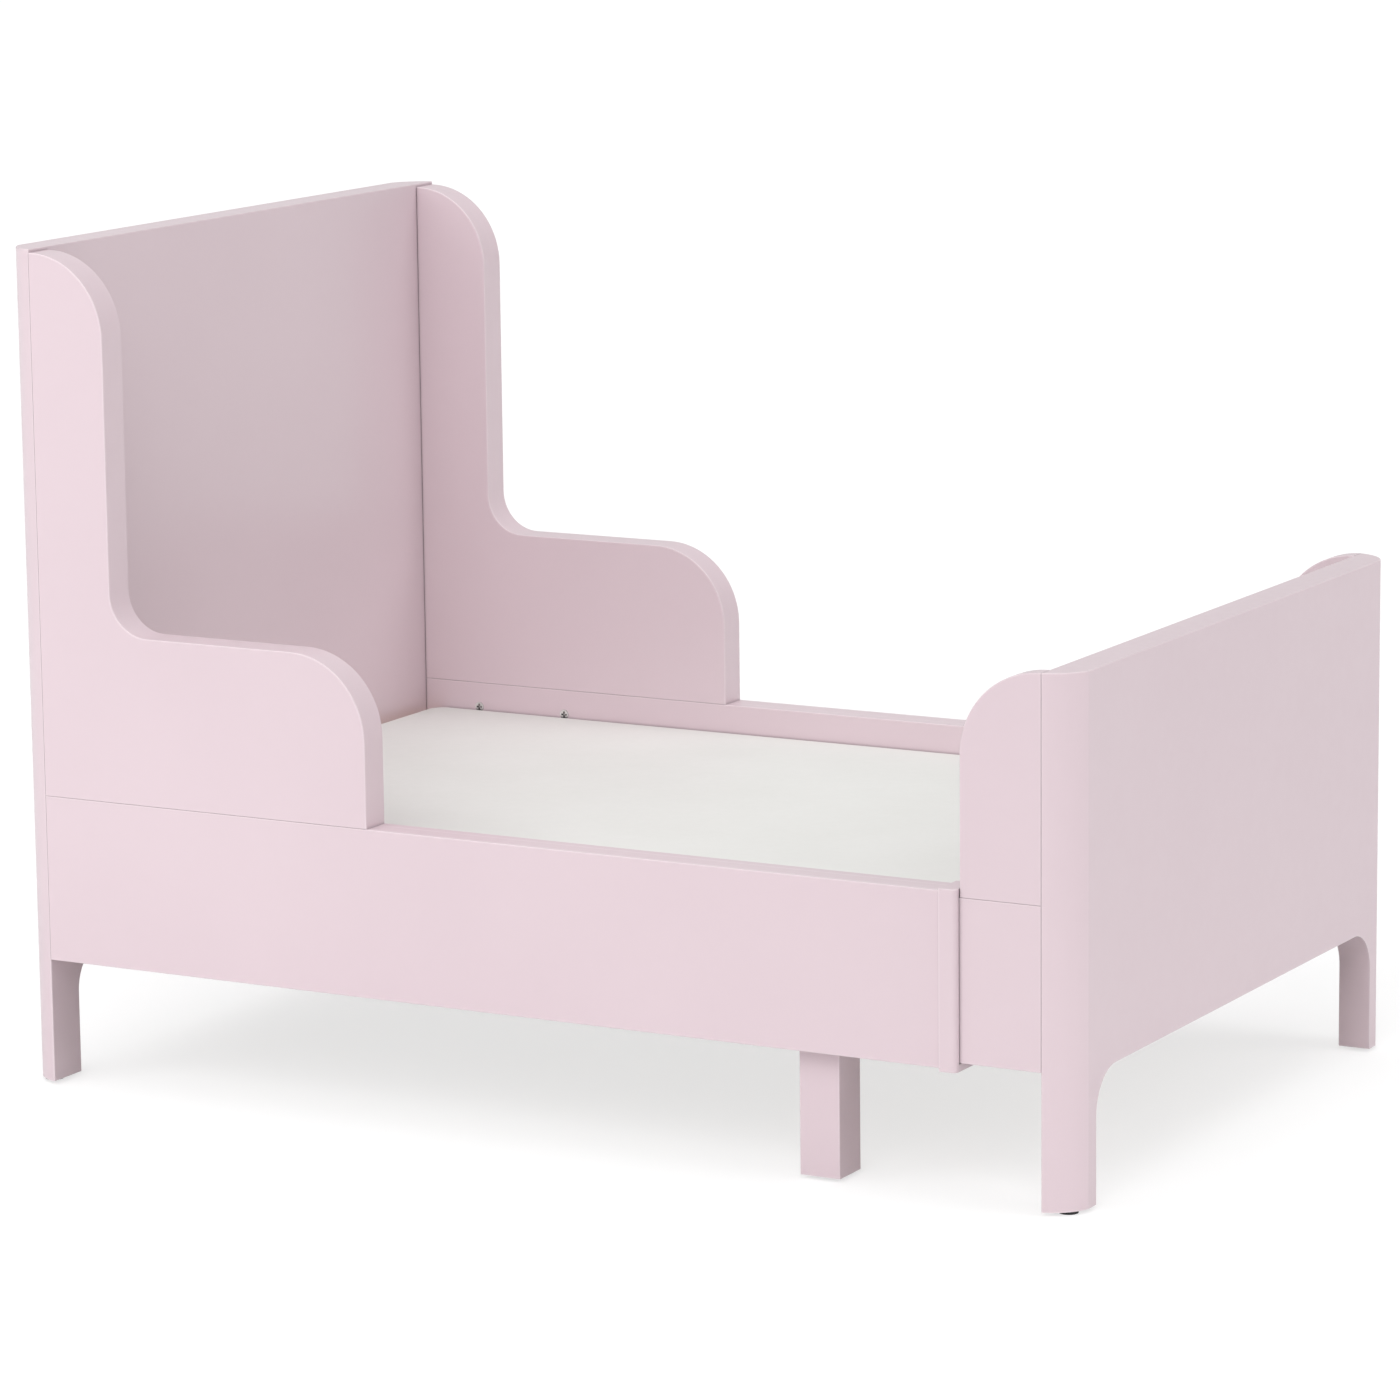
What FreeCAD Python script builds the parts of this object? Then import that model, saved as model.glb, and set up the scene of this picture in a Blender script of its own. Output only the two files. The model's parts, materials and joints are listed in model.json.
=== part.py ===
import FreeCAD, Part
import math
import os
import Sketcher

# Extendable toddler bed, in millimetres.
# +X runs from the headboard to the footboard, +Y to the left of a child lying in the bed, +Z up.
# The origin is on the floor, in the middle of the closed bed.
# Right-hand pieces are drawn on the -Y side; left-hand ones are their mirror images.

doc = FreeCAD.newDocument("toddler_bed")
bed = doc.addObject("Spreadsheet::Sheet", "bed")

DIMENSIONS = {
    # whole bed, closed
    "inner_length": 1300,
    "bed_width": 900,
    "extension": 700,
    "end_board": 40,
    "edge_round": 1,
    # headboard and footboard
    "head_height": 1000,
    "foot_height": 600,
    "foot_inset": 4,
    "leg_width": 56,
    "arch_height": 153,
    "arch_radius": 50,
    "corner_radius": 54,
    "corner_side_spread": 1.2,
    "corner_end_spread": 2.6,
    # side rails of the head section: an outer skin and an inner board round a hollow
    "rail_bottom": 153,
    "rail_top": 352,
    "rail_length": 1196,
    "side_thickness": 40,
    "skin": 3.5,
    "batten": 6.5,
    "slide_gap": 0.5,
    "end_block": 220,
    # guards
    "guard_length": 447,
    "guard_post": 100,
    "guard_step": 551,
    "guard_top": 996,
    "guard_radius": 99,
    "guard_inner_radius": 50,
    # collars round the open ends of the side rails
    "collar_start": 1180.5,
    "collar_end": 1202,
    "collar_proud": 4,
    "collar_rim": 3,
    "collar_radius": 6.5,
    "collar_gap": 1.2,
    # sliding rails and wings of the foot section
    "foot_rail_thickness": 22,
    "rail_overlap": 268,
    "wing_start": 1202.5,
    "wing_radius": 97,
    # legs in the middle
    "middle_leg": 50,
    "middle_leg_start": 992,
    "middle_leg_inset": 27,
    # mattress base
    "base_top": 316,
    "base_board": 12,
    "base_step": 2,
    "base_end_gap": 17.5,
    "base_side_gap": 2.5,
    "base_corner": 20,
    "ledge_width": 22,
    "ledge_height": 30,
    "end_ledge": 35,
    "lower_board_start": 290,
    "lower_board_end_gap": 10,
    "bearer_width": 30,
    "bearer_height": 40,
    "bearer_offset": 190,
    "crossbar_width": 35,
    "crossbar_height": 60,
    # fittings
    "clearance": 0.1,
    "dowel_radius": 4,
    "dowel_half": 12.5,
    "cam_radius": 7.5,
    "cam_depth": 12,
    "cam_setback": 34,
    "cam_low": 190,
    "cam_high": 240,
    "bolt_radius": 3.5,
    "bolt_depth": 12,
    "bolt_below_face": 6.5,
    "rail_dowel_low": 215,
    "rail_dowel_high": 325,
    "guard_dowel_low": 650,
    "guard_dowel_high": 850,
    "wing_dowel_low": 420,
    "wing_dowel_high": 520,
    "guard_dowel_near": 81,
    "guard_dowel_far": 209,
    "guard_dowel_depth": 22,
    "wing_dowel_near": 30,
    "wing_dowel_far": 65,
    "screw_radius": 2,
    "screw_head": 4.75,
    "screw_head_height": 2,
    "screw_head_proud": 0.5,
    "rail_screw_head": 6,
    "rail_screw_height": 320,
    "rail_screw_length": 22,
    "recess_length": 8,
    "recess_width": 2.2,
    "recess_depth": 1.4,
    "leg_screw_low": 170,
    "leg_screw_high": 262,
    "leg_screw_length": 46,
    "ledge_screw_length": 28,
    "ledge_screw_first": 120,
    "ledge_screw_pitch": 340,
    "end_ledge_screw_length": 43,
    "end_ledge_screw_offset": 300,
    "board_screw_length": 28,
    "board_screw_first": 340,
    "board_screw_pitch": 300,
    "crossbar_dowel_offset": 15,
    "glide_height": 4,
    "glide_radius": 11,
    "glide_pin_radius": 2.5,
    "glide_pin": 15,
}

for row, (alias, value) in enumerate(DIMENSIONS.items(), start=1):
    cell = f"A{row}"
    bed.set(cell, str(value))
    bed.setAlias(cell, alias)
doc.recompute()

# How many screws there are along each ledge and each bearer.
LEDGE_SCREWS = 4
BEARER_SCREWS = 4

# Places that many pieces share, as expressions.
FLOOR = "0"
HEAD = "(-bed.inner_length / 2)"
FOOT = "(bed.inner_length / 2)"
HALF_WIDTH = "(bed.bed_width / 2)"
RIGHT = "(-bed.bed_width / 2)"
RIGHT_INSIDE = "(-bed.bed_width / 2 + bed.side_thickness)"
SLEEVE_OUTSIDE = "(-bed.bed_width / 2 + bed.skin)"
SLEEVE_INSIDE = "(-bed.bed_width / 2 + bed.skin + bed.foot_rail_thickness + 2 * bed.slide_gap)"
SLEEVE_MIDDLE = "(-bed.bed_width / 2 + bed.skin + bed.slide_gap + bed.foot_rail_thickness / 2)"
SLEEVE_BOTTOM = "(bed.rail_bottom + bed.batten)"
SLEEVE_TOP = "(bed.rail_top - bed.batten)"
FOOT_RAIL_OUTSIDE = "(-bed.bed_width / 2 + bed.skin + bed.slide_gap)"
FOOT_RAIL_INSIDE = "(-bed.bed_width / 2 + bed.skin + bed.slide_gap + bed.foot_rail_thickness)"
FOOT_RAIL_BOTTOM = "(bed.rail_bottom + bed.batten + bed.slide_gap)"
FOOT_RAIL_TOP = "(bed.rail_top - bed.batten - bed.slide_gap)"
FOOT_RAIL_TAIL = "(-bed.inner_length / 2 + bed.rail_length - bed.extension - bed.rail_overlap)"
LEG_MIDDLE_X = "(-bed.inner_length / 2 + bed.middle_leg_start + bed.middle_leg / 2)"
LEG_OUTSIDE = "(-bed.bed_width / 2 + bed.middle_leg_inset)"
LEG_INSIDE = "(-bed.bed_width / 2 + bed.middle_leg_inset + bed.middle_leg)"
UPPER_BOTTOM = "(bed.base_top - bed.base_board)"
LEDGE_BOTTOM = "(bed.base_top - bed.base_board - bed.ledge_height)"
LEDGE_INSIDE = "(-bed.bed_width / 2 + bed.side_thickness + bed.ledge_width)"
LOWER_TOP = "(bed.base_top - bed.base_board - bed.base_step)"
LOWER_BOTTOM = "(bed.base_top - 2 * bed.base_board - bed.base_step)"
LOWER_SIDE = "(bed.bed_width / 2 - bed.side_thickness - bed.ledge_width - bed.base_step)"
LOWER_START = "(-bed.inner_length / 2 + bed.lower_board_start)"
BEARER_BOTTOM = "(bed.base_top - 2 * bed.base_board - bed.base_step - bed.bearer_height)"
BEARER_MIDDLE_Z = "(bed.base_top - 2 * bed.base_board - bed.base_step - bed.bearer_height / 2)"
FOOT_LEDGE_START = "(bed.inner_length / 2 - bed.end_ledge)"

AXIS_ROTATION = {
    "x": FreeCAD.Rotation(FreeCAD.Vector(0, 1, 0), 90),
    "y": FreeCAD.Rotation(FreeCAD.Vector(1, 0, 0), -90),
    "z": FreeCAD.Rotation(),
}

# How far, in millimetres, an edge may lie from the level that it is looked for at.
TOUCH = 0.01

sub_parts = []


def keep(piece, label):
    """Give a finished piece its name and put it on the list to write."""
    piece.Label = label
    sub_parts.append(piece)
    return piece


def opposite(expression):
    """The same distance on the other side of zero."""
    return f"(-({expression}))"


def place(piece, position):
    """Bind a piece's position to three expressions."""
    for axis, expression in zip("xyz", position):
        piece.setExpression(f"Placement.Base.{axis}", expression)


def box(name, x_range, y_range, z_range):
    """A rectangular piece between a low and a high expression along each axis."""
    piece = doc.addObject("Part::Box", name)
    ranges = (x_range, y_range, z_range)
    for size, (low, high) in zip(("Length", "Width", "Height"), ranges):
        piece.setExpression(size, f"{high} - {low}")
    place(piece, [low for low, high in ranges])
    return piece


def rod(name, axis, radius, length, middle):
    """A cylinder along an axis, centred on a point."""
    piece = doc.addObject("Part::Cylinder", name)
    piece.setExpression("Radius", radius)
    piece.setExpression("Height", length)
    piece.Placement = FreeCAD.Placement(FreeCAD.Vector(), AXIS_ROTATION[axis])
    start = list(middle)
    start["xyz".index(axis)] += f" - ({length}) / 2"
    place(piece, start)
    return piece


def group(name, pieces):
    """Several separate solids as one object."""
    compound = doc.addObject("Part::Compound", name)
    compound.Links = pieces
    return compound


def pegs(name, axis, radius, length, middles):
    """Rods at several places, and the slightly larger holes that they sit in."""
    rods = []
    holes = []
    for number, middle in enumerate(middles, start=1):
        rods.append(rod(f"{name}_{number}", axis, radius, length, middle))
        hole_radius = f"{radius} + bed.clearance"
        hole_length = f"{length} + 2 * bed.clearance"
        holes.append(rod(f"{name}_hole_{number}", axis, hole_radius, hole_length, middle))
    return rods, holes


def screws(name, axis, sign, length, heads, head_radius="bed.screw_head"):
    """Screws with round heads, and their holes.

    Each runs from its head's outer face in the direction sign along axis.
    """
    finished = []
    all_holes = []
    index = "xyz".index(axis)
    for number, head in enumerate(heads, start=1):
        head_middle = list(head)
        head_middle[index] += f" + {sign} * bed.screw_head_height / 2"
        shank_middle = list(head)
        shank_middle[index] += f" + {sign} * (bed.screw_head_height + {length} / 2)"
        head_rods, head_holes = pegs(f"{name}_head_{number}", axis, head_radius,
                                     "bed.screw_head_height", [head_middle])
        shank_rods, shank_holes = pegs(f"{name}_shank_{number}", axis, "bed.screw_radius",
                                       length, [shank_middle])
        whole = doc.addObject("Part::Fuse", f"{name}_{number}")
        whole.Base = head_rods[0]
        whole.Tool = shank_rods[0]
        finished.append(whole)
        all_holes += head_holes + shank_holes
    return finished, all_holes


def cross_recess(name, screw, head, sign):
    """Cut a driver's cross into the head of a screw that lies along Y."""
    x, y, z = head
    floor = f"({y} + {sign} * bed.recess_depth)"
    depth_range = (y, floor) if sign > 0 else (floor, y)
    bars = []
    for direction, long_x in (("across", True), ("upright", False)):
        half_x = "bed.recess_length / 2" if long_x else "bed.recess_width / 2"
        half_z = "bed.recess_width / 2" if long_x else "bed.recess_length / 2"
        bars.append(box(f"{name}_{direction}", (f"({x} - {half_x})", f"({x} + {half_x})"),
                        depth_range, (f"({z} - {half_z})", f"({z} + {half_z})")))
    return cut(name, screw, bars)


def cut(name, base, tools):
    """One piece with several tools taken out of it."""
    piece = doc.addObject("Part::Cut", name)
    piece.Base = base
    piece.Tool = group(f"{name}_tools", tools)
    return piece


def mirror(source, label):
    """The left-hand twin of a right-hand piece."""
    twin = doc.addObject("Part::Mirroring", label)
    twin.Source = source
    twin.Base = FreeCAD.Vector(0, 0, 0)
    twin.Normal = FreeCAD.Vector(0, 1, 0)
    return keep(twin, label)


def keep_pair(piece, name):
    """A right-hand piece and its left-hand twin."""
    keep(piece, f"right_{name}")
    mirror(piece, f"left_{name}")


def both_sides(middle):
    """A place on the right side of the bed, with or without its height, and the same place on the left."""
    x, y, *height = middle
    return [(x, y, *height), (x, opposite(y), *height)]


def attach(sketch, body, role, offset):
    """Lay a sketch on one of its body's origin planes, moved along the plane's normal."""
    planes = [plane for plane in body.Origin.OriginFeatures if plane.Role == role]
    sketch.AttachmentSupport = [(planes[0], "")]
    sketch.MapMode = "FlatFace"
    sketch.setExpression("AttachmentOffset.Base.z", offset)


def close_loop(sketch, edges):
    """Join the end of each edge to the start of the next."""
    count = len(edges)
    for index in range(count):
        following = (index + 1) % count
        sketch.addConstraint(Sketcher.Constraint("Coincident", edges[index], 2, edges[following], 1))


def fix_point(sketch, edge, corner):
    """Bind the start of an edge to a pair of expressions measured from the sketch's origin."""
    for kind, expression in zip(("DistanceX", "DistanceY"), corner):
        index = sketch.addConstraint(Sketcher.Constraint(kind, -1, 1, edge, 1, 1.0))
        sketch.setExpression(f"Constraints[{index}]", expression)


def polygon(body, name, role, offset, corners):
    """A closed sketch with straight sides through corners given as expressions."""
    sketch = body.newObject("Sketcher::SketchObject", name)
    attach(sketch, body, role, offset)
    count = len(corners)
    turns = [2 * math.pi * index / count for index in range(count + 1)]
    points = [FreeCAD.Vector(math.cos(turn), math.sin(turn), 0) for turn in turns]
    edges = [sketch.addGeometry(Part.LineSegment(points[index], points[index + 1]), False)
             for index in range(count)]
    close_loop(sketch, edges)
    for edge, corner in zip(edges, corners):
        fix_point(sketch, edge, corner)
    return sketch


def pad(body, sketch, length):
    """Raise a sketch into a solid along its plane's normal."""
    feature = body.newObject("PartDesign::Pad", f"{sketch.Name}_pad")
    feature.Profile = sketch
    feature.setExpression("Length", length)
    doc.recompute()
    return feature


def rounded(name, source, radius, wanted):
    """A piece with the edges that a test picks out rounded over."""
    if source.isDerivedFrom("PartDesign::Body"):
        body = source
    else:
        body = doc.addObject("PartDesign::Body", name)
        body.BaseFeature = source
        body.setExpression("Placement", f"{source.Name}.Placement")
        doc.recompute()
    base = body.Tip
    picked = [f"Edge{number}" for number, edge in enumerate(body.Shape.Edges, start=1) if wanted(edge)]
    feature = body.newObject("PartDesign::Fillet", f"{name}_round")
    feature.Base = (base, picked)
    feature.setExpression("Radius", radius)
    body.Tip = feature
    doc.recompute()
    return body


def common(name, base, tool):
    """What two pieces share."""
    piece = doc.addObject("Part::Common", name)
    piece.Base = base
    piece.Tool = tool
    return piece


def lies_at(**levels):
    """A test for edges that lie wholly at a given level along each named axis."""
    def wanted(edge):
        limits = edge.BoundBox
        return all(abs(getattr(limits, f"{axis.upper()}Min") - level) < TOUCH
                   and abs(getattr(limits, f"{axis.upper()}Max") - level) < TOUCH
                   for axis, level in levels.items())
    return wanted


def any_of(*tests):
    """A test that passes an edge when one of several tests does."""
    return lambda edge: any(test(edge) for test in tests)


def size(name):
    """A driving dimension as a plain number, for finding edges."""
    return DIMENSIONS[name]


def end_board(name, sign, inner_face, side, height, holes):
    """A headboard or footboard: one board on two legs, with its outer corners rounded.

    sign is the direction from the inner face to the outer one along X. The round is drawn slightly
    outside the board, so that it meets the board's faces at a shallow angle.
    """
    outer_face = f"({inner_face} + {sign} * bed.end_board)"
    deep_face = f"({outer_face} - {sign} * 2 * bed.corner_radius)"
    x_range = (outer_face, inner_face) if sign < 0 else (inner_face, outer_face)
    spread_face = f"({outer_face} + {sign} * bed.corner_end_spread)"
    deep_range = (spread_face, deep_face) if sign < 0 else (deep_face, spread_face)
    spread_side = f"({side} + bed.corner_side_spread)"
    slab = box(f"{name}_slab", x_range, (opposite(side), side), ("bed.glide_height", height))
    plan = box(f"{name}_plan", deep_range, (opposite(spread_side), spread_side),
               ("bed.glide_height", height))
    doc.recompute()
    spread_x = sign * (size("inner_length") / 2 + size("end_board") + size("corner_end_spread"))
    spread_y = slab.Shape.BoundBox.YMax + size("corner_side_spread")
    plan = rounded(f"{name}_corners", plan, "bed.corner_radius",
                   any_of(lies_at(x=spread_x, y=spread_y), lies_at(x=spread_x, y=-spread_y)))
    board = common(f"{name}_board", slab, plan)
    arch_side = f"({side} - bed.leg_width)"
    arch = box(f"{name}_arch_block", x_range, (opposite(arch_side), arch_side), (FLOOR, "bed.arch_height"))
    doc.recompute()
    arch_y = arch.Shape.BoundBox.YMax
    arch_z = size("arch_height")
    arch = rounded(f"{name}_arch", arch, "bed.arch_radius",
                   any_of(lies_at(y=arch_y, z=arch_z), lies_at(y=-arch_y, z=arch_z)))
    board = cut(f"{name}_arched", board, [arch])
    doc.recompute()
    top = board.Shape.BoundBox.ZMax
    inner_x = sign * size("inner_length") / 2
    board = rounded(f"{name}_rounded", board, "bed.edge_round",
                    any_of(lies_at(x=inner_x), lies_at(z=top)))
    return keep(cut(f"{name}_drilled", board, holes), name)


def guard(holes):
    """The raised guard on the side rail: a post beside the headboard, then a low step."""
    start = HEAD
    step_end = f"({HEAD} + bed.guard_length)"
    post_end = f"({HEAD} + bed.guard_post)"
    body = doc.addObject("PartDesign::Body", "guard")
    outline = polygon(body, "guard_outline", "XZ_Plane", f"-{RIGHT_INSIDE}", [
        (start, "bed.rail_top"),
        (step_end, "bed.rail_top"),
        (step_end, "bed.guard_step"),
        (post_end, "bed.guard_step"),
        (post_end, "bed.guard_top"),
        (start, "bed.guard_top"),
    ])
    pad(body, outline, "bed.side_thickness")
    head_x = -size("inner_length") / 2
    step_x = head_x + size("guard_length")
    post_x = head_x + size("guard_post")
    body = rounded("guard_outer_corners", body, "bed.guard_radius",
                   any_of(lies_at(x=step_x, z=size("guard_step")), lies_at(x=post_x, z=size("guard_top"))))
    body = rounded("guard_inner_corner", body, "bed.guard_inner_radius",
                   lies_at(x=post_x, z=size("guard_step")))
    outer_y = -size("bed_width") / 2
    inner_y = outer_y + size("side_thickness")
    body = rounded("guard_faces", body, "bed.edge_round", any_of(lies_at(y=outer_y), lies_at(y=inner_y)))
    keep_pair(cut("guard_drilled", body, holes), "guard")


def side_rail(holes):
    """The hollow side rail: an outer skin, an inner board, two battens and a block at its head end."""
    end = f"({HEAD} + bed.rail_length)"
    whole_length = (HEAD, end)
    whole_height = ("bed.rail_bottom", "bed.rail_top")
    hollow_width = (SLEEVE_OUTSIDE, SLEEVE_INSIDE)
    skin = box("rail_skin_sheet", whole_length, (RIGHT, SLEEVE_OUTSIDE), whole_height)
    inner = box("rail_inner_sheet", whole_length, (SLEEVE_INSIDE, RIGHT_INSIDE), whole_height)
    top = box("rail_top_strip", whole_length, hollow_width, (SLEEVE_TOP, "bed.rail_top"))
    bottom = box("rail_bottom_strip", whole_length, hollow_width, ("bed.rail_bottom", SLEEVE_BOTTOM))
    block = box("rail_end_piece", (HEAD, f"({HEAD} + bed.end_block)"), hollow_width,
                (SLEEVE_BOTTOM, SLEEVE_TOP))
    doc.recompute()
    outer_y = -size("bed_width") / 2
    inner_y = outer_y + size("side_thickness")
    skin = rounded("rail_skin_edges", skin, "bed.edge_round", lies_at(y=outer_y))
    inner = rounded("rail_inner_edges", inner, "bed.edge_round", lies_at(y=inner_y))
    keep_pair(skin, "rail_outer_skin")
    keep_pair(cut("rail_inner_drilled", inner, holes), "rail_inner_board")
    keep_pair(cut("rail_top_drilled", top, holes), "rail_top_batten")
    keep_pair(bottom, "rail_bottom_batten")
    keep_pair(cut("rail_block_drilled", block, holes), "rail_end_block")


def collar():
    """The cap round the open end of a side rail, which the foot rail slides through."""
    outside = f"({RIGHT} - bed.collar_proud)"
    length = (f"({HEAD} + bed.collar_start)", f"({HEAD} + bed.collar_end)")
    height = ("(bed.rail_bottom - bed.collar_rim)", "(bed.rail_top + bed.collar_rim)")
    blank = box("collar_blank", length, (outside, RIGHT_INSIDE), height)
    doc.recompute()
    limits = blank.Shape.BoundBox
    blank = rounded("collar_nose", blank, "bed.collar_radius", lies_at(x=limits.XMax, y=limits.YMin))
    rail_seat = box("collar_rail_seat", (length[0], f"({HEAD} + bed.rail_length)"), (RIGHT, RIGHT_INSIDE),
                    ("bed.rail_bottom", "bed.rail_top"))
    mouth = box("collar_mouth", length,
                (f"({FOOT_RAIL_OUTSIDE} - bed.collar_gap)", f"({FOOT_RAIL_INSIDE} + bed.collar_gap)"),
                (f"({FOOT_RAIL_BOTTOM} - bed.collar_gap)", f"({FOOT_RAIL_TOP} + bed.collar_gap)"))
    ring = cut("collar_ring", blank, [rail_seat, mouth])
    doc.recompute()
    ends = ring.Shape.BoundBox
    ring = rounded("collar_edges", ring, "bed.edge_round",
                   any_of(lies_at(z=ends.ZMin), lies_at(z=ends.ZMax)))
    keep_pair(ring, "rail_collar")


def middle_leg(holes):
    """A square leg under the side rail, notched so that its upper part runs up inside the rail."""
    body = doc.addObject("PartDesign::Body", "middle_leg")
    outline = polygon(body, "middle_leg_outline", "YZ_Plane", f"{HEAD} + bed.middle_leg_start", [
        (LEG_OUTSIDE, "bed.glide_height"),
        (LEG_INSIDE, "bed.glide_height"),
        (LEG_INSIDE, LEDGE_BOTTOM),
        (RIGHT_INSIDE, LEDGE_BOTTOM),
        (RIGHT_INSIDE, "bed.rail_bottom"),
        (LEG_OUTSIDE, "bed.rail_bottom"),
    ])
    pad(body, outline, "bed.middle_leg")
    leg_outer_y = -size("bed_width") / 2 + size("middle_leg_inset")
    leg_x = -size("inner_length") / 2 + size("middle_leg_start")
    leg_end_x = leg_x + size("middle_leg")
    body = rounded("middle_leg_edges", body, "bed.edge_round",
                   any_of(lies_at(x=leg_x, y=leg_outer_y), lies_at(x=leg_end_x, y=leg_outer_y)))
    keep_pair(cut("middle_leg_drilled", body, holes), "middle_leg")


def base_board(name, x_range, half_width, z_range, holes):
    """A flat mattress-base board with rounded corners."""
    low_x, high_x = x_range
    body = doc.addObject("PartDesign::Body", f"{name}_body")
    outline = polygon(body, f"{name}_outline", "XY_Plane", z_range[0], [
        (low_x, opposite(half_width)),
        (high_x, opposite(half_width)),
        (high_x, half_width),
        (low_x, half_width),
    ])
    pad(body, outline, "bed.base_board")
    limits = body.Shape.BoundBox
    corners = [lies_at(x=x, y=y) for x in (limits.XMin, limits.XMax) for y in (limits.YMin, limits.YMax)]
    body = rounded(f"{name}_corners", body, "bed.base_corner", any_of(*corners))
    body = rounded(f"{name}_edges", body, "bed.edge_round", lies_at(z=limits.ZMax))
    keep(cut(f"{name}_drilled", body, holes) if holes else body, name)


def foot_wing(holes):
    """The upright wing between the foot rail and the footboard, with a quarter-round top."""
    start = f"({HEAD} + bed.wing_start)"
    body = doc.addObject("PartDesign::Body", "foot_wing")
    outline = polygon(body, "foot_wing_outline", "XZ_Plane", f"-{FOOT_RAIL_INSIDE}", [
        (start, FOOT_RAIL_TOP),
        (FOOT, FOOT_RAIL_TOP),
        (FOOT, "bed.foot_height"),
        (start, "bed.foot_height"),
    ])
    pad(body, outline, "bed.foot_rail_thickness")
    limits = body.Shape.BoundBox
    body = rounded("foot_wing_corner", body, "bed.wing_radius", lies_at(x=limits.XMin, z=limits.ZMax))
    body = rounded("foot_wing_edges", body, "bed.edge_round",
                   any_of(lies_at(y=limits.YMin), lies_at(y=limits.YMax)))
    keep_pair(cut("foot_wing_drilled", body, holes), "foot_wing")


def foot_rail(holes):
    """The rail that slides inside the side rail."""
    rail = box("foot_rail_plank", (FOOT_RAIL_TAIL, FOOT), (FOOT_RAIL_OUTSIDE, FOOT_RAIL_INSIDE),
               (FOOT_RAIL_BOTTOM, FOOT_RAIL_TOP))
    doc.recompute()
    outer_y = rail.Shape.BoundBox.YMin
    rail = rounded("foot_rail_edges", rail, "bed.edge_round", lies_at(y=outer_y))
    keep_pair(cut("foot_rail_drilled", rail, holes), "foot_rail")


def glides(name, places):
    """Round feet, each with a pin that is driven up into a leg, and the holes for the pins."""
    finished = []
    pin_holes = []
    for index, (x, y) in enumerate(places, start=1):
        foot = rod(f"{name}_disc_{index}", "z", "bed.glide_radius", "bed.glide_height",
                   (x, y, "bed.glide_height / 2"))
        pins, holes = pegs(f"{name}_pin_{index}", "z", "bed.glide_pin_radius", "bed.glide_pin",
                           [(x, y, "bed.glide_height + bed.glide_pin / 2")])
        whole = doc.addObject("Part::Fuse", f"{name}_{index}")
        whole.Base = foot
        whole.Tool = pins[0]
        finished.append(whole)
        pin_holes += holes
    keep(group(f"{name}_group", finished), name)
    return pin_holes


def end_fittings(name, sign, face, bolt_y, cam_face, dowel_y, dowel_heights):
    """The dowels, cams and cam bolts that join the two side rails to a headboard or footboard.

    sign is the direction from the end board into the rails along X.
    """
    dowels = []
    for height in dowel_heights:
        dowels += both_sides((face, dowel_y, height))
    dowel_rods, dowel_holes = pegs(f"{name}_dowel", "x", "bed.dowel_radius", "2 * bed.dowel_half", dowels)
    bolt_end = "(bed.cam_setback - bed.cam_radius)"
    bolts = []
    cams = []
    for height in ("bed.cam_low", "bed.cam_high"):
        bolts += both_sides((f"({face} + {sign} * ({bolt_end} - bed.bolt_depth) / 2)", bolt_y, height))
        cams += both_sides((f"({face} + {sign} * bed.cam_setback)", f"({cam_face} - bed.cam_depth / 2)",
                            height))
    bolt_rods, bolt_holes = pegs(f"{name}_bolt", "x", "bed.bolt_radius",
                                 f"({bolt_end} + bed.bolt_depth)", bolts)
    cam_rods, cam_holes = pegs(f"{name}_cam", "y", "bed.cam_radius", "bed.cam_depth", cams)
    keep(group(f"{name}_dowel_group", dowel_rods), f"{name}_dowels")
    keep(group(f"{name}_bolt_group", bolt_rods), f"{name}_cam_bolts")
    keep(group(f"{name}_cam_group", cam_rods), f"{name}_cams")
    return dowel_holes + bolt_holes + cam_holes


def guard_fittings():
    """Dowels from each guard into the headboard and down into the side rail."""
    into_head = []
    for height in ("bed.guard_dowel_low", "bed.guard_dowel_high"):
        into_head += both_sides((HEAD, SLEEVE_MIDDLE, height))
    down = []
    for distance in ("bed.guard_dowel_near", "bed.guard_dowel_far"):
        down += both_sides((f"({HEAD} + {distance})", SLEEVE_MIDDLE, "bed.rail_top"))
    across_rods, across_holes = pegs("guard_head_dowel", "x", "bed.dowel_radius", "2 * bed.dowel_half",
                                     into_head)
    down_rods, down_holes = pegs("guard_rail_dowel", "z", "bed.dowel_radius",
                                 "2 * bed.guard_dowel_depth", down)
    keep(group("guard_dowel_group", across_rods + down_rods), "guard_dowels")
    return across_holes + down_holes


def rail_screws():
    """The cross-head screws on the inner face of each side rail, which hold it to its end block."""
    finished = []
    holes = []
    for side, sign in (("right", -1), ("left", 1)):
        face = f"({sign} * (bed.bed_width / 2 - bed.side_thickness - bed.screw_head_proud))"
        heads = [(f"({HEAD} + {distance})", face, "bed.rail_screw_height")
                 for distance in ("bed.guard_dowel_near", "bed.guard_dowel_far")]
        made, drilled = screws(f"rail_screw_{side}", "y", sign, "bed.rail_screw_length", heads,
                               "bed.rail_screw_head")
        finished += [cross_recess(f"{screw.Name}_recess", screw, head, sign)
                     for screw, head in zip(made, heads)]
        holes += drilled
    keep(group("rail_screw_group", finished), "rail_screws")
    return holes


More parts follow.
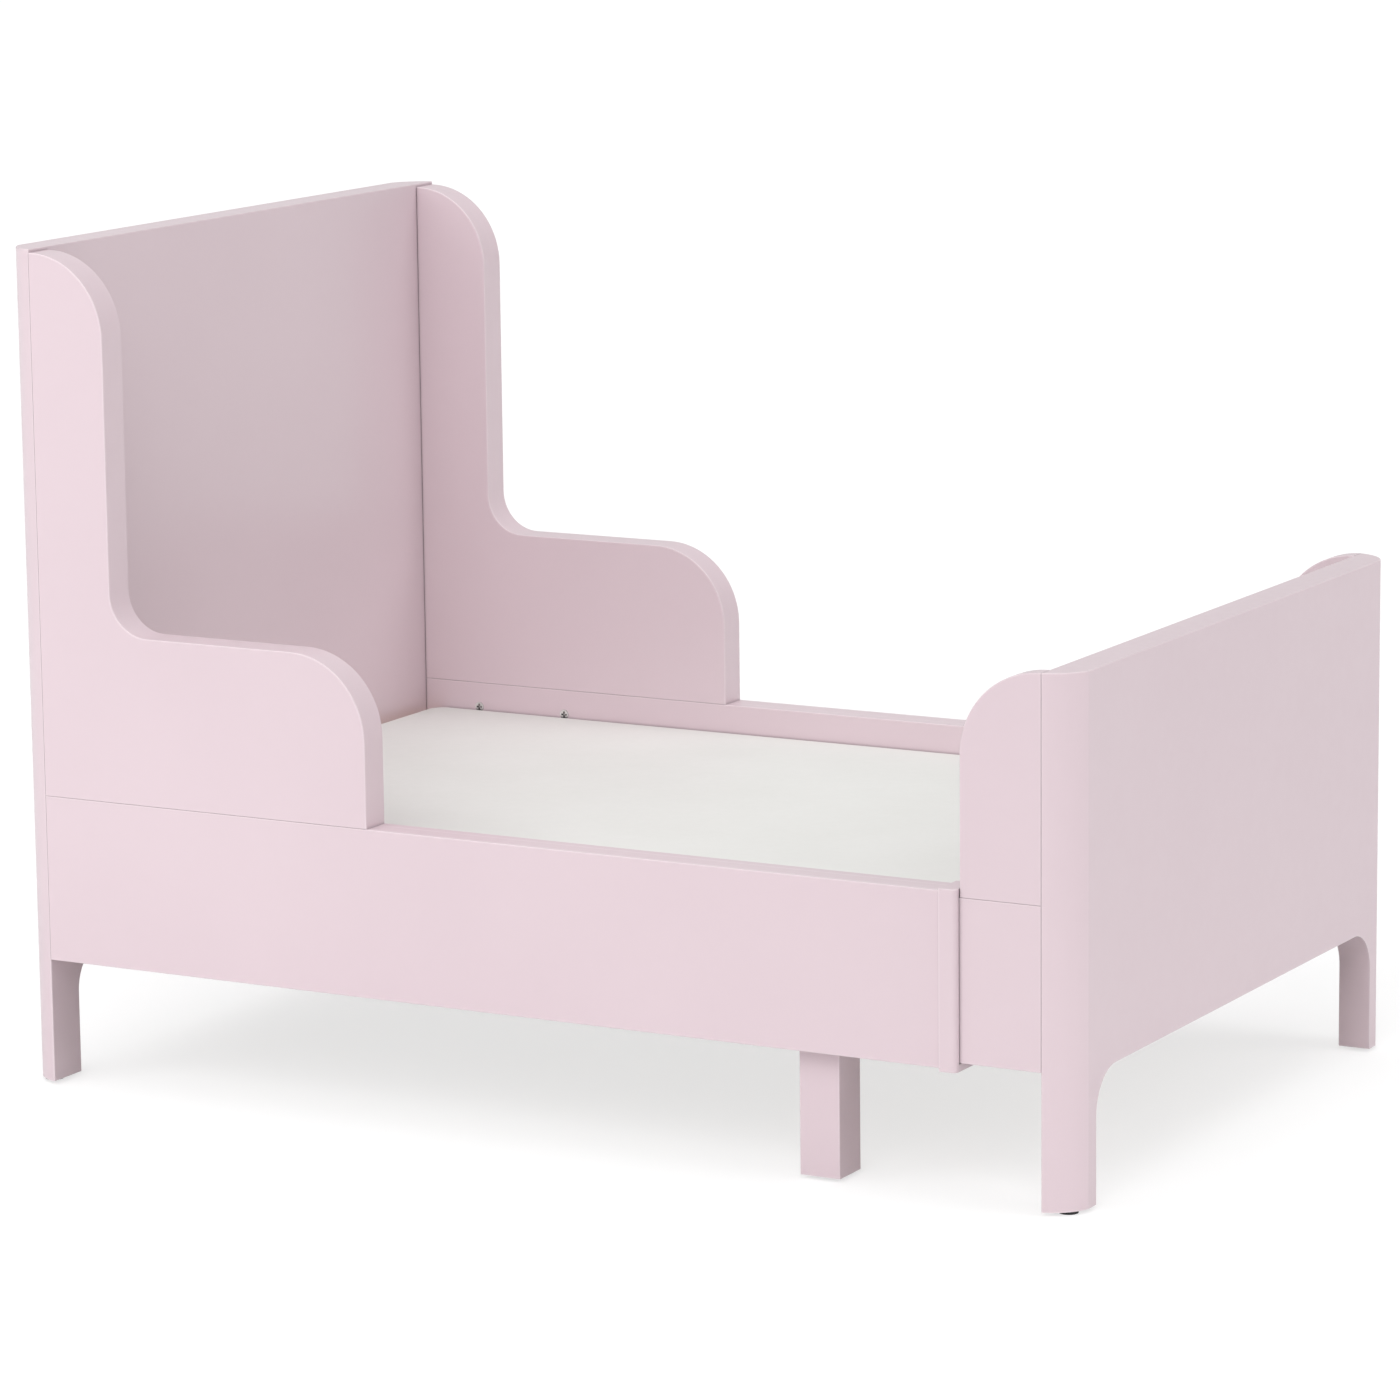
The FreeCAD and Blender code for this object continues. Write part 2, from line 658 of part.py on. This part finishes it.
def leg_fittings():
    """Screws from each middle leg into the side rail, and dowels into the crossbar."""
    finished = []
    holes = []
    for side, sign in (("right", -1), ("left", 1)):
        face = f"({-sign} * {LEG_INSIDE})"
        heads = [(LEG_MIDDLE_X, face, height) for height in ("bed.leg_screw_low", "bed.leg_screw_high")]
        made, drilled = screws(f"leg_screw_{side}", "y", sign, "bed.leg_screw_length", heads)
        finished += made
        holes += drilled
    keep(group("leg_screw_group", finished), "leg_screws")
    middle_z = f"({BEARER_BOTTOM} - bed.slide_gap - bed.crossbar_height / 2)"
    places = []
    for sign in (-1, 1):
        places += both_sides((LEG_MIDDLE_X, LEG_INSIDE,
                              f"({middle_z} + {sign} * bed.crossbar_dowel_offset)"))
    rods, dowel_holes = pegs("crossbar_dowel", "y", "bed.dowel_radius", "2 * bed.dowel_half", places)
    keep(group("crossbar_dowel_group", rods), "crossbar_dowels")
    return holes + dowel_holes


def ledge_screws():
    """Screws that hold the ledges of the head section to the side rails and the headboard."""
    finished = []
    holes = []
    height = f"({UPPER_BOTTOM} - bed.ledge_height / 2)"
    for side, sign in (("right", -1), ("left", 1)):
        heads = [(f"({HEAD} + bed.ledge_screw_first + {index} * bed.ledge_screw_pitch)",
                  f"({-sign} * {LEDGE_INSIDE})", height) for index in range(LEDGE_SCREWS)]
        made, drilled = screws(f"side_ledge_screw_{side}", "y", sign, "bed.ledge_screw_length", heads)
        finished += made
        holes += drilled
    heads = [(f"({HEAD} + bed.end_ledge)", f"({index} * bed.end_ledge_screw_offset)", height)
             for index in (-1, 0, 1)]
    made, drilled = screws("head_ledge_screw", "x", -1, "bed.end_ledge_screw_length", heads)
    keep(group("ledge_screw_group", finished + made), "ledge_screws")
    return holes + drilled


def foot_base_fittings():
    """Screws and dowels that join the lower board, its bearers, the foot ledge and the footboard."""
    heads = []
    dowels = []
    for side in (-1, 1):
        bearer_y = f"({side} * bed.bearer_offset)"
        heads += [(f"({HEAD} + bed.board_screw_first + {index} * bed.board_screw_pitch)", bearer_y,
                   LOWER_TOP) for index in range(BEARER_SCREWS)]
        dowels.append((FOOT_LEDGE_START, bearer_y, BEARER_MIDDLE_Z))
    board_screws, board_holes = screws("board_screw", "z", -1, "bed.board_screw_length", heads)
    dowel_rods, dowel_holes = pegs("bearer_dowel", "x", "bed.dowel_radius", "2 * bed.dowel_half", dowels)
    heads = [(FOOT_LEDGE_START, f"({index} * bed.end_ledge_screw_offset)", BEARER_MIDDLE_Z)
             for index in (-1, 0, 1)]
    ledge_made, ledge_holes = screws("foot_ledge_screw", "x", 1, "bed.end_ledge_screw_length", heads)
    keep(group("board_screw_group", board_screws), "foot_base_screws")
    keep(group("bearer_dowel_group", dowel_rods), "bearer_dowels")
    keep(group("foot_ledge_screw_group", ledge_made), "foot_ledge_screws")
    return board_holes + dowel_holes + ledge_holes


def wing_dowels():
    """Dowels from each wing into the footboard and down into the foot rail."""
    across = []
    for height in ("bed.wing_dowel_low", "bed.wing_dowel_high"):
        across += both_sides((FOOT, SLEEVE_MIDDLE, height))
    down = []
    for distance in ("bed.wing_dowel_near", "bed.wing_dowel_far"):
        down += both_sides((f"({FOOT} - {distance})", SLEEVE_MIDDLE, FOOT_RAIL_TOP))
    across_rods, across_holes = pegs("wing_foot_dowel", "x", "bed.dowel_radius", "2 * bed.dowel_half",
                                     across)
    down_rods, down_holes = pegs("wing_rail_dowel", "z", "bed.dowel_radius", "2 * bed.dowel_half", down)
    keep(group("wing_dowel_group", across_rods + down_rods), "foot_wing_dowels")
    return across_holes + down_holes


def head_section():
    """Everything that stands still when the bed is pulled out."""
    leg_inset = f"({RIGHT} + bed.leg_width / 2)"
    places = both_sides((f"({HEAD} - bed.end_board / 2)", leg_inset))
    places += both_sides((LEG_MIDDLE_X, f"({LEG_INSIDE} - bed.middle_leg / 2)"))
    glide_holes = glides("head_section_glides", places)
    rail_holes = end_fittings("head", 1, HEAD, f"({RIGHT_INSIDE} - bed.bolt_below_face)", RIGHT_INSIDE,
                              SLEEVE_MIDDLE, ("bed.rail_dowel_low", "bed.rail_dowel_high"))
    guard_holes = guard_fittings()
    screw_holes = rail_screws()
    leg_holes = leg_fittings()
    ledge_holes = ledge_screws()
    end_board("headboard", -1, HEAD, HALF_WIDTH, "bed.head_height",
              glide_holes + rail_holes + guard_holes + ledge_holes)
    guard(guard_holes)
    side_rail(rail_holes + guard_holes + screw_holes + leg_holes + ledge_holes)
    collar()
    middle_leg(leg_holes + glide_holes)
    crossbar = box("crossbar_plank",
                   (f"({LEG_MIDDLE_X} - bed.crossbar_width / 2)",
                    f"({LEG_MIDDLE_X} + bed.crossbar_width / 2)"),
                   (LEG_INSIDE, opposite(LEG_INSIDE)),
                   (f"({BEARER_BOTTOM} - bed.slide_gap - bed.crossbar_height)",
                    f"({BEARER_BOTTOM} - bed.slide_gap)"))
    keep(cut("crossbar_drilled", crossbar, leg_holes), "middle_crossbar")
    ledge_height = (LEDGE_BOTTOM, UPPER_BOTTOM)
    ledge = box("side_ledge_strip", (HEAD, f"({HEAD} + bed.collar_start)"), (RIGHT_INSIDE, LEDGE_INSIDE),
                ledge_height)
    keep_pair(cut("side_ledge_drilled", ledge, ledge_holes), "base_ledge")
    end_ledge = box("head_ledge_strip", (HEAD, f"({HEAD} + bed.end_ledge)"),
                    (LEDGE_INSIDE, opposite(LEDGE_INSIDE)), ledge_height)
    keep(cut("head_ledge_drilled", end_ledge, ledge_holes), "head_base_ledge")
    base_board("head_base_board", (f"({HEAD} + bed.base_end_gap)", f"({FOOT} - bed.base_end_gap)"),
               f"({opposite(RIGHT_INSIDE)} - bed.base_side_gap)", (UPPER_BOTTOM, "bed.base_top"), [])


def foot_section():
    """Everything that slides out with the footboard."""
    side = f"({HALF_WIDTH} - bed.foot_inset)"
    leg_inset = f"({opposite(side)} + bed.leg_width / 2)"
    places = both_sides((f"({FOOT} + bed.end_board / 2)", leg_inset))
    glide_holes = glides("foot_section_glides", places)
    rail_holes = end_fittings("foot", -1, FOOT, f"({FOOT_RAIL_INSIDE} - bed.bolt_below_face)",
                              FOOT_RAIL_INSIDE, SLEEVE_MIDDLE, ("bed.rail_dowel_low", "bed.rail_dowel_high"))
    wing_holes = wing_dowels()
    base_holes = foot_base_fittings()
    end_board("footboard", 1, FOOT, side, "bed.foot_height",
              glide_holes + rail_holes + wing_holes + base_holes)
    foot_wing(wing_holes)
    foot_rail(rail_holes + wing_holes)
    base_board("foot_base_board", (LOWER_START, f"({FOOT} - bed.lower_board_end_gap)"), LOWER_SIDE,
               (LOWER_BOTTOM, LOWER_TOP), base_holes)
    bearer = box("bearer_plank", (LOWER_START, FOOT_LEDGE_START),
                 ("(-bed.bearer_offset - bed.bearer_width / 2)",
                  "(-bed.bearer_offset + bed.bearer_width / 2)"),
                 (BEARER_BOTTOM, LOWER_BOTTOM))
    keep_pair(cut("bearer_drilled", bearer, base_holes), "foot_base_bearer")
    ledge = box("foot_ledge_strip", (FOOT_LEDGE_START, FOOT), (opposite(LOWER_SIDE), LOWER_SIDE),
                (BEARER_BOTTOM, LOWER_BOTTOM))
    keep(cut("foot_ledge_drilled", ledge, base_holes), "foot_base_ledge")


def check_model():
    """Stop if any object failed, or if a sub-part has no sound shape."""
    doc.recompute()
    for item in doc.Objects:
        if "Invalid" in item.State or "Error" in item.State:
            raise RuntimeError(f"{item.Name} failed: {item.State}")
    for piece in sub_parts:
        if piece.Shape.isNull() or not piece.Shape.isValid() or not piece.Shape.Solids:
            raise RuntimeError(f"{piece.Label} has no sound shape")


def write_parts():
    """Write each sub-part to a file of its own name."""
    os.makedirs("parts", exist_ok=True)
    for piece in sub_parts:
        piece.Shape.exportStep(f"parts/{piece.Label}.step")


head_section()
foot_section()
check_model()
write_parts()
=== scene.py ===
import json
import math
import bpy
from mathutils import Euler, Matrix, Vector


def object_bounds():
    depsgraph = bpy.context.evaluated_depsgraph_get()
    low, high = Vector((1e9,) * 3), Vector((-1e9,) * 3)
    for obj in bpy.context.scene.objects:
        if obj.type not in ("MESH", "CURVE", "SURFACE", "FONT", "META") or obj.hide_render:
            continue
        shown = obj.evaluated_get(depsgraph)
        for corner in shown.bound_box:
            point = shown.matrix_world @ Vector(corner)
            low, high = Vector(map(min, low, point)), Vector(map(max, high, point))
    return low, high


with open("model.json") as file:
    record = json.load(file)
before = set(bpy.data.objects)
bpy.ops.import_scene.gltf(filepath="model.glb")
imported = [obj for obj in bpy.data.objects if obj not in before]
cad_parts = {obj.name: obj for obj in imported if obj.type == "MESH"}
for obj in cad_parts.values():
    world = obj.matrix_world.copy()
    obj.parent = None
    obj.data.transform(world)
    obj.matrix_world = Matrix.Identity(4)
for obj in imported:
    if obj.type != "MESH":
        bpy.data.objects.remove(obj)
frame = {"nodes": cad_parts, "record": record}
cad_low, cad_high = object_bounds()
centre = (cad_low + cad_high) / 2
floor_level = cad_low.z

# The photograph's view: where the camera stands from the middle of the bed's footprint, in metres, how
# far it is turned, tipped down and rolled, in degrees, its lens in millimetres, and how far it sees.
CAMERA_OFFSET = Vector((3.254, -5.906, 1.6995))
CAMERA_TURN = 28.95
CAMERA_DROP = -10.55
CAMERA_ROLL = -0.64
CAMERA_LENS = 147.8
CAMERA_REACH = 200


# ---------------------------------------------------------------- materials

# Within these distances, in metres, a painted highlight lightens an outer edge, painted shade darkens a
# joint or concave corner, and painted shade darkens the recess and rim of a screw's head.
EDGE_HIGHLIGHT_WIDTH = 0.0020
JOINT_SHADE_WIDTH = 0.004
RECESS_SHADE_WIDTH = 0.004
OCCLUSION_SAMPLES = 6
# Colours, as linear red, green and blue. Where there are two, the surface wanders between them.
PINK = ((0.674, 0.547, 0.590), (0.700, 0.572, 0.614))
# The light pink of the painted edge highlight, then the dark pink of the painted shade in joints and
# corners.
PINK_EDGE_HIGHLIGHT = (0.86, 0.78, 0.80)
PINK_JOINT_SHADE = (0.24, 0.17, 0.20)
OFF_WHITE = ((0.730, 0.736, 0.708), (0.752, 0.758, 0.733))
PINE = ((0.60, 0.40, 0.20), (0.74, 0.55, 0.33))
ZINC = ((0.80, 0.79, 0.78), (0.92, 0.91, 0.90))
# The near-black of the painted shade in a screw's recess and round its rim.
ZINC_RECESS_SHADE = (0.010, 0.009, 0.009)
BLACK = ((0.012, 0.012, 0.012), (0.022, 0.022, 0.023))
# The colour sockets of a mix node, which share their names with its other kinds of socket.
MIX_FACTOR = 0
MIX_FIRST = 6
MIX_SECOND = 7
MIX_RESULT = 2


def new_material(name):
    """A node material with its shader."""
    material = bpy.data.materials.new(name)
    material.use_nodes = True
    return material, material.node_tree.nodes["Principled BSDF"]


def add_node(material, kind, **inputs):
    """A shader node with some of its inputs set by name."""
    node = material.node_tree.nodes.new(kind)
    for name, value in inputs.items():
        node.inputs[name].default_value = value
    return node


def link(material, output, target):
    """Join two sockets of a material."""
    material.node_tree.links.new(output, target)


def object_noise(material, scale, detail=2.0, stretch=(1, 1, 1)):
    """Noise fixed to the piece, in metres, so that scale is in features per metre."""
    place = add_node(material, "ShaderNodeTexCoord")
    mapping = add_node(material, "ShaderNodeMapping", Scale=stretch)
    noise = add_node(material, "ShaderNodeTexNoise", Scale=scale, Detail=detail)
    link(material, place.outputs["Object"], mapping.inputs["Vector"])
    link(material, mapping.outputs["Vector"], noise.inputs["Vector"])
    return noise


def remap(material, source, low, high, from_low=0.3, from_high=0.7):
    """A value's range, by default the middle of a noise's, spread between two others."""
    ramp = add_node(material, "ShaderNodeMapRange")
    ramp.inputs["From Min"].default_value = from_low
    ramp.inputs["From Max"].default_value = from_high
    ramp.inputs["To Min"].default_value = low
    ramp.inputs["To Max"].default_value = high
    link(material, source, ramp.inputs["Value"])
    return ramp.outputs["Result"]


def colour_mix(material, factor, second):
    """A mix node that gives the second colour where the factor is 1."""
    mix = add_node(material, "ShaderNodeMix")
    mix.data_type = "RGBA"
    link(material, factor, mix.inputs[MIX_FACTOR])
    mix.inputs[MIX_SECOND].default_value = (*second, 1)
    return mix


def blend_colours(material, factor, first, second):
    """A colour between two others."""
    mix = colour_mix(material, factor, second)
    mix.inputs[MIX_FIRST].default_value = (*first, 1)
    return mix.outputs[MIX_RESULT]


def tint(material, colour, factor, other, strength):
    """Mix some of another colour in where the factor is 1."""
    amount = add_node(material, "ShaderNodeMath")
    amount.operation = "MULTIPLY"
    amount.inputs[1].default_value = strength
    link(material, factor, amount.inputs[0])
    mix = colour_mix(material, amount.outputs["Value"], other)
    link(material, colour, mix.inputs[MIX_FIRST])
    return mix.outputs[MIX_RESULT]


def bump(material, shader, heights, distance):
    """Raise the surface by up to a distance in metres where heights is white."""
    node = add_node(material, "ShaderNodeBump", Distance=distance)
    link(material, heights, node.inputs["Height"])
    link(material, node.outputs["Normal"], shader.inputs["Normal"])


def near_surfaces(material, distance, inside):
    """How open the surface is within a distance, which falls in a joint, or inside along an outer edge."""
    node = add_node(material, "ShaderNodeAmbientOcclusion", Distance=distance)
    node.samples = OCCLUSION_SAMPLES
    node.inside = inside
    node.only_local = inside
    return node.outputs["AO"]


def painted_board():
    """Pale pink satin paint, sprayed on smooth board, with a painted highlight along the outer edges and
    painted shade in the joints and concave corners, a faint orange peel and a slightly uneven sheen."""
    material, shader = new_material("pink_satin_paint")
    cloud = object_noise(material, 2.2)
    colour = blend_colours(material, remap(material, cloud.outputs["Fac"], 0, 1), *PINK)
    # Painted highlight: the pink is lightened along the outer edges.
    edge_highlight = remap(material, near_surfaces(material, EDGE_HIGHLIGHT_WIDTH, True), 1, 0, 0.55, 0.97)
    colour = tint(material, colour, edge_highlight, PINK_EDGE_HIGHLIGHT, 0.45)
    # Painted shade: the pink is darkened in joints and concave corners, where nearby surfaces close in.
    joint_shade = remap(material, near_surfaces(material, JOINT_SHADE_WIDTH, False), 1, 0, 0.30, 0.92)
    colour = tint(material, colour, joint_shade, PINK_JOINT_SHADE, 0.75)
    link(material, colour, shader.inputs["Base Color"])
    sheen = object_noise(material, 60.0)
    link(material, remap(material, sheen.outputs["Fac"], 0.34, 0.42), shader.inputs["Roughness"])
    shader.inputs["Coat Weight"].default_value = 0.4
    shader.inputs["Coat Roughness"].default_value = 0.16
    peel = object_noise(material, 650.0, detail=3.0)
    bump(material, shader, peel.outputs["Fac"], 0.00006)
    return material


def white_board():
    """Off-white painted board with a dry, slightly mottled surface."""
    material, shader = new_material("off_white_board")
    cloud = object_noise(material, 6.0, detail=4.0)
    colour = blend_colours(material, remap(material, cloud.outputs["Fac"], 0, 1), *OFF_WHITE)
    link(material, colour, shader.inputs["Base Color"])
    sheen = object_noise(material, 90.0)
    link(material, remap(material, sheen.outputs["Fac"], 0.50, 0.62), shader.inputs["Roughness"])
    grain = object_noise(material, 900.0, detail=3.0)
    bump(material, shader, grain.outputs["Fac"], 0.00005)
    return material


def pine():
    """Planed, unpainted pine with its grain along X."""
    material, shader = new_material("planed_pine")
    rings = object_noise(material, 55.0, detail=5.0, stretch=(0.05, 1, 1))
    colour = blend_colours(material, remap(material, rings.outputs["Fac"], 0, 1), *PINE)
    link(material, colour, shader.inputs["Base Color"])
    link(material, remap(material, rings.outputs["Fac"], 0.65, 0.5), shader.inputs["Roughness"])
    bump(material, shader, rings.outputs["Fac"], 0.0001)
    return material


def zinc_plate():
    """Bright zinc plating with fine tool marks, and painted shade in its recesses."""
    material, shader = new_material("zinc_plate")
    marks = object_noise(material, 700.0, detail=4.0, stretch=(1, 1, 6))
    colour = blend_colours(material, remap(material, marks.outputs["Fac"], 0, 1), *ZINC)
    # Painted shade: the zinc is darkened in the cross recess and round the rim of the head.
    recess_shade = remap(material, near_surfaces(material, RECESS_SHADE_WIDTH, False), 1, 0, 0.60, 0.96)
    colour = tint(material, colour, recess_shade, ZINC_RECESS_SHADE, 1.0)
    link(material, colour, shader.inputs["Base Color"])
    shader.inputs["Metallic"].default_value = 1.0
    link(material, remap(material, marks.outputs["Fac"], 0.25, 0.42), shader.inputs["Roughness"])
    bump(material, shader, marks.outputs["Fac"], 0.00003)
    return material


def black_plastic():
    """Matt black moulded plastic."""
    material, shader = new_material("black_moulded_plastic")
    spots = object_noise(material, 400.0)
    colour = blend_colours(material, remap(material, spots.outputs["Fac"], 0, 1), *BLACK)
    link(material, colour, shader.inputs["Base Color"])
    link(material, remap(material, spots.outputs["Fac"], 0.45, 0.6), shader.inputs["Roughness"])
    bump(material, shader, spots.outputs["Fac"], 0.00005)
    return material


def finish_nodes():
    """Give every CAD node the finish of its slot in the record."""
    finishes = {
        "pink_paint": painted_board(),
        "white_board": white_board(),
        "bare_wood": pine(),
        "zinc_plated_steel": zinc_plate(),
        "black_plastic": black_plastic(),
    }
    for entry in frame["record"]["subparts"]:
        for slot in frame["nodes"][entry["node"]].material_slots:
            slot.material = finishes[entry["material_slot"]]


# ---------------------------------------------------------------- studio

# The floor's half width and how far it lies under the bed, in metres.
FLOOR_REACH = 40.0
FLOOR_DROP = 0.0005
# What the camera sees is a glow and a little of the light on the floor. The bed gets the full bounce.
FLOOR_GLOW = 0.68
FLOOR_SEEN = (0.36, 0.36, 0.36, 1)
FLOOR_BOUNCE = (0.90, 0.90, 0.90, 1)


def make_floor():
    """A large, plain white floor, on which the camera sees only a third of the shadow."""
    middle = (centre.x, centre.y, floor_level - FLOOR_DROP)
    bpy.ops.mesh.primitive_plane_add(size=2 * FLOOR_REACH, location=middle)
    floor = bpy.context.object
    floor.name = "studio_floor"
    material, shader = new_material("studio_floor")
    shader.inputs["Base Color"].default_value = FLOOR_SEEN
    shader.inputs["Roughness"].default_value = 0.9
    shader.inputs["Specular IOR Level"].default_value = 0.0
    shader.inputs["Emission Color"].default_value = (1, 1, 1, 1)
    shader.inputs["Emission Strength"].default_value = FLOOR_GLOW
    dull = add_node(material, "ShaderNodeBsdfDiffuse", Color=FLOOR_BOUNCE)
    seen = add_node(material, "ShaderNodeLightPath")
    choose = add_node(material, "ShaderNodeMixShader")
    link(material, seen.outputs["Is Camera Ray"], choose.inputs["Fac"])
    link(material, dull.outputs["BSDF"], choose.inputs[1])
    link(material, shader.outputs["BSDF"], choose.inputs[2])
    output = material.node_tree.nodes["Material Output"]
    link(material, choose.outputs["Shader"], output.inputs["Surface"])
    floor.data.materials.append(material)


# Broad suns, which light the whole floor evenly: the way each comes from (azimuth as in the views, and
# elevation, in degrees), how wide it looks in degrees, and its strength. The back one is low, so that it
# lights the bed's back and hardly its top, and the gloss doesn't mirror it.
SUNS = {
    "front_sun": (13, 38, 40, 1.28),
    "foot_sun": (98, 30, 40, 0.78),
    "top_sun": (0, 89, 60, 0.95),
    "back_sun": (205, 8, 40, 0.60),
}
UNMIRRORED = "back_sun"
# One soft box off the head end, so that the near side is a little brighter there.
SOFT_BOX = {"azimuth": -35, "elevation": 30, "distance": 4.0, "size": 2.0, "power": 36}
# How bright the white surround is to the camera, where it lights the bed, and where the gloss mirrors it.
BACKDROP = 1.0
AMBIENT = 0.30
REFLECTED = 0.62


def aim_lamp(name, light, azimuth, elevation, distance):
    """Place a lamp round the bed and point it at the middle."""
    lamp = bpy.data.objects.new(name, light)
    turn = math.radians(azimuth)
    rise = math.radians(elevation)
    towards = Vector((math.sin(turn) * math.cos(rise), -math.cos(turn) * math.cos(rise), math.sin(rise)))
    lamp.location = centre + towards * distance
    lamp.rotation_mode = "QUATERNION"
    lamp.rotation_quaternion = (-towards).to_track_quat("-Z", "Y")
    lamp.visible_glossy = name != UNMIRRORED
    bpy.context.scene.collection.objects.link(lamp)


def make_lights():
    """Soft suns and one soft box."""
    for name, (azimuth, elevation, spread, strength) in SUNS.items():
        sun = bpy.data.lights.new(name, "SUN")
        sun.angle = math.radians(spread)
        sun.energy = strength
        aim_lamp(name, sun, azimuth, elevation, SOFT_BOX["distance"])
    box = bpy.data.lights.new("soft_box", "AREA")
    box.size = SOFT_BOX["size"]
    box.energy = SOFT_BOX["power"]
    aim_lamp("soft_box", box, SOFT_BOX["azimuth"], SOFT_BOX["elevation"], SOFT_BOX["distance"])


def make_surround():
    """An even white surround, whose strength depends on the kind of ray that meets it."""
    world = bpy.data.worlds.new("studio")
    world.use_nodes = True
    nodes = world.node_tree.nodes
    background = nodes["Background"]
    background.inputs["Color"].default_value = (1, 1, 1, 1)
    rays = nodes.new("ShaderNodeLightPath")
    lighting = nodes.new("ShaderNodeMapRange")
    lighting.inputs["To Min"].default_value = REFLECTED
    lighting.inputs["To Max"].default_value = AMBIENT
    strength = nodes.new("ShaderNodeMapRange")
    strength.inputs["To Max"].default_value = BACKDROP
    links = world.node_tree.links
    links.new(rays.outputs["Is Diffuse Ray"], lighting.inputs["Value"])
    links.new(lighting.outputs["Result"], strength.inputs["To Min"])
    links.new(rays.outputs["Is Camera Ray"], strength.inputs["Value"])
    links.new(strength.outputs["Result"], background.inputs["Strength"])
    bpy.context.scene.world = world


def make_camera():
    """A camera at the photograph's viewing angle."""
    camera = bpy.data.cameras.new("camera")
    camera.lens = CAMERA_LENS
    camera.clip_end = CAMERA_REACH
    eye = bpy.data.objects.new("camera", camera)
    aim = Euler((math.radians(90 + CAMERA_DROP), 0, math.radians(CAMERA_TURN))).to_matrix()
    roll = Matrix.Rotation(math.radians(CAMERA_ROLL), 3, "Z")
    footprint = Vector((centre.x, centre.y, floor_level))
    eye.matrix_world = Matrix.Translation(footprint + CAMERA_OFFSET) @ (aim @ roll).to_4x4()
    bpy.context.scene.collection.objects.link(eye)
    bpy.context.scene.camera = eye


finish_nodes()
make_floor()
make_lights()
make_surround()
make_camera()
bpy.context.scene.view_settings.view_transform = "Standard"
